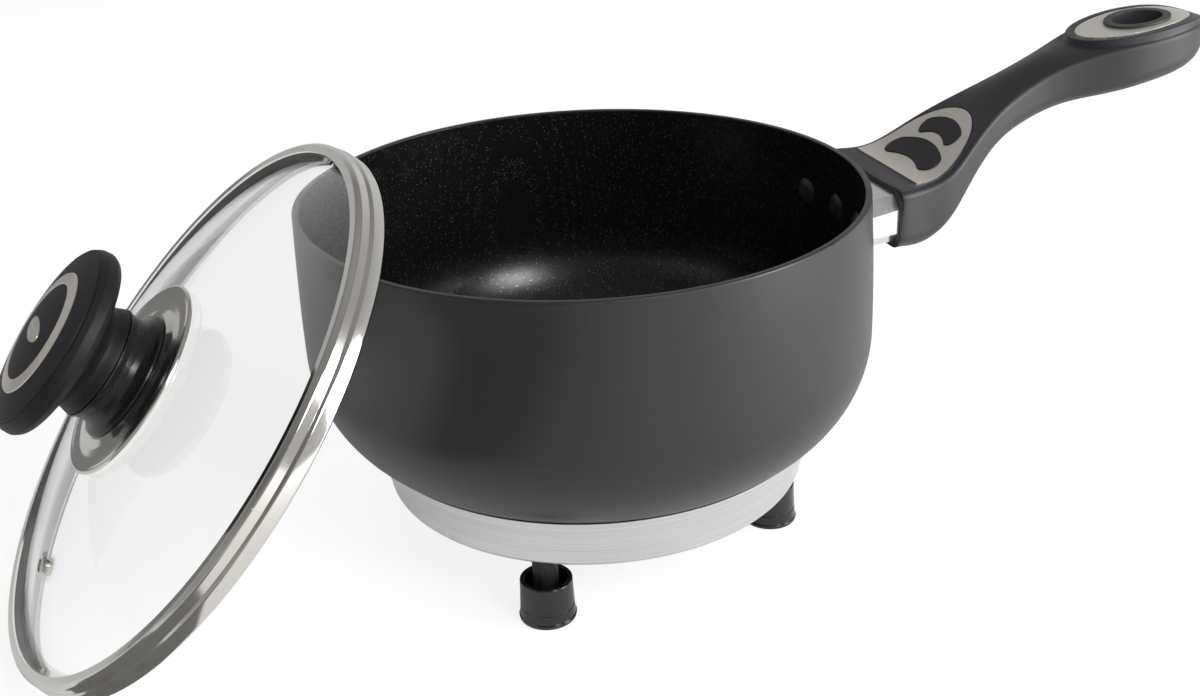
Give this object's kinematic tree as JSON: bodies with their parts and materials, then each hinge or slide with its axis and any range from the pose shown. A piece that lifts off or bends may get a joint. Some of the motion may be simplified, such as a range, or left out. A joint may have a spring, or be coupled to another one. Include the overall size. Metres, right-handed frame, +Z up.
{
  "type": "electric hot pot with lid",
  "caption": "Round electric hot pot on a heater base with feet, a long stick handle with a hanging hole, and a loose domed glass lid with a knob, leaning on the pot's rim.",
  "frame": {"origin": "on the pot's axis, in the plane that the feet stand on", "axes": "+X along the handle, +Z up, +Y towards the power inlet at the back of the base"},
  "size_m": [0.4666, 0.207, 0.1715],
  "materials": {
    "anodised_pot": "hard anodised, fine turned brushing outside, dark non-stick inside",
    "rivet_aluminium": "plain domed",
    "polished_steel": "polished stainless",
    "plain_steel": "plain",
    "cover_steel": "satin painted",
    "dark_steel": "black coated",
    "soft_black": "soft-touch matt",
    "grip_rubber": "soft matt",
    "satin_trim": "satin, bright edge",
    "spun_aluminium": "spun and brushed",
    "silicone": "soft matt",
    "phenolic": "moulded",
    "pin_brass": "plated",
    "wire_sleeve": "woven sleeve",
    "gloss_black": "glossy moulded",
    "clear_glass": "clear tempered"
  },
  "bodies": {
    "pot": {"pot_body": "anodised_pot", "handle_rivets": "rivet_aluminium", "handle_bracket": "polished_steel", "handle_tang": "plain_steel", "tang_screw": "plain_steel", "handle_body": "soft_black", "handle_shield_plate": "satin_trim", "front_grip_pad": "grip_rubber", "rear_grip_pad": "grip_rubber", "hang_hole_plate": "satin_trim", "hang_hole_grommet": "soft_black", "base_skirt": "spun_aluminium", "skirt_gasket": "silicone", "heat_spreader": "spun_aluminium", "heating_element": "plain_steel", "element_terminals": "plain_steel", "thermostat": "phenolic", "thermal_fuse": "plain_steel", "heat_shield": "plain_steel", "centre_stud": "plain_steel", "stud_spacer": "plain_steel", "cover_spacer": "plain_steel", "centre_washer": "plain_steel", "centre_nut": "plain_steel", "base_cover": "cover_steel", "power_inlet": "phenolic", "inlet_pins": "pin_brass", "supply_wires": "wire_sleeve", "leg_posts": "dark_steel", "leg_nuts": "plain_steel", "foot_caps": "gloss_black"},
    "lid": {"lid_glass": "clear_glass", "lid_rim_band": "polished_steel", "lid_seal": "silicone", "vent_eyelet": "polished_steel", "knob_dish": "polished_steel", "knob_collar": "gloss_black", "knob_grip": "soft_black", "knob_inlay_ring": "satin_trim", "knob_inlay_centre": "satin_trim", "knob_seal": "silicone", "knob_washer": "plain_steel", "knob_screw": "plain_steel"}
  },
  "joints": [
    {"name": "lid_lift", "type": "slide", "parent": "pot", "child": "lid", "axis": [-0.7412, -0.0531, 0.6691], "range_m": [0, 0.2]}
  ]
}
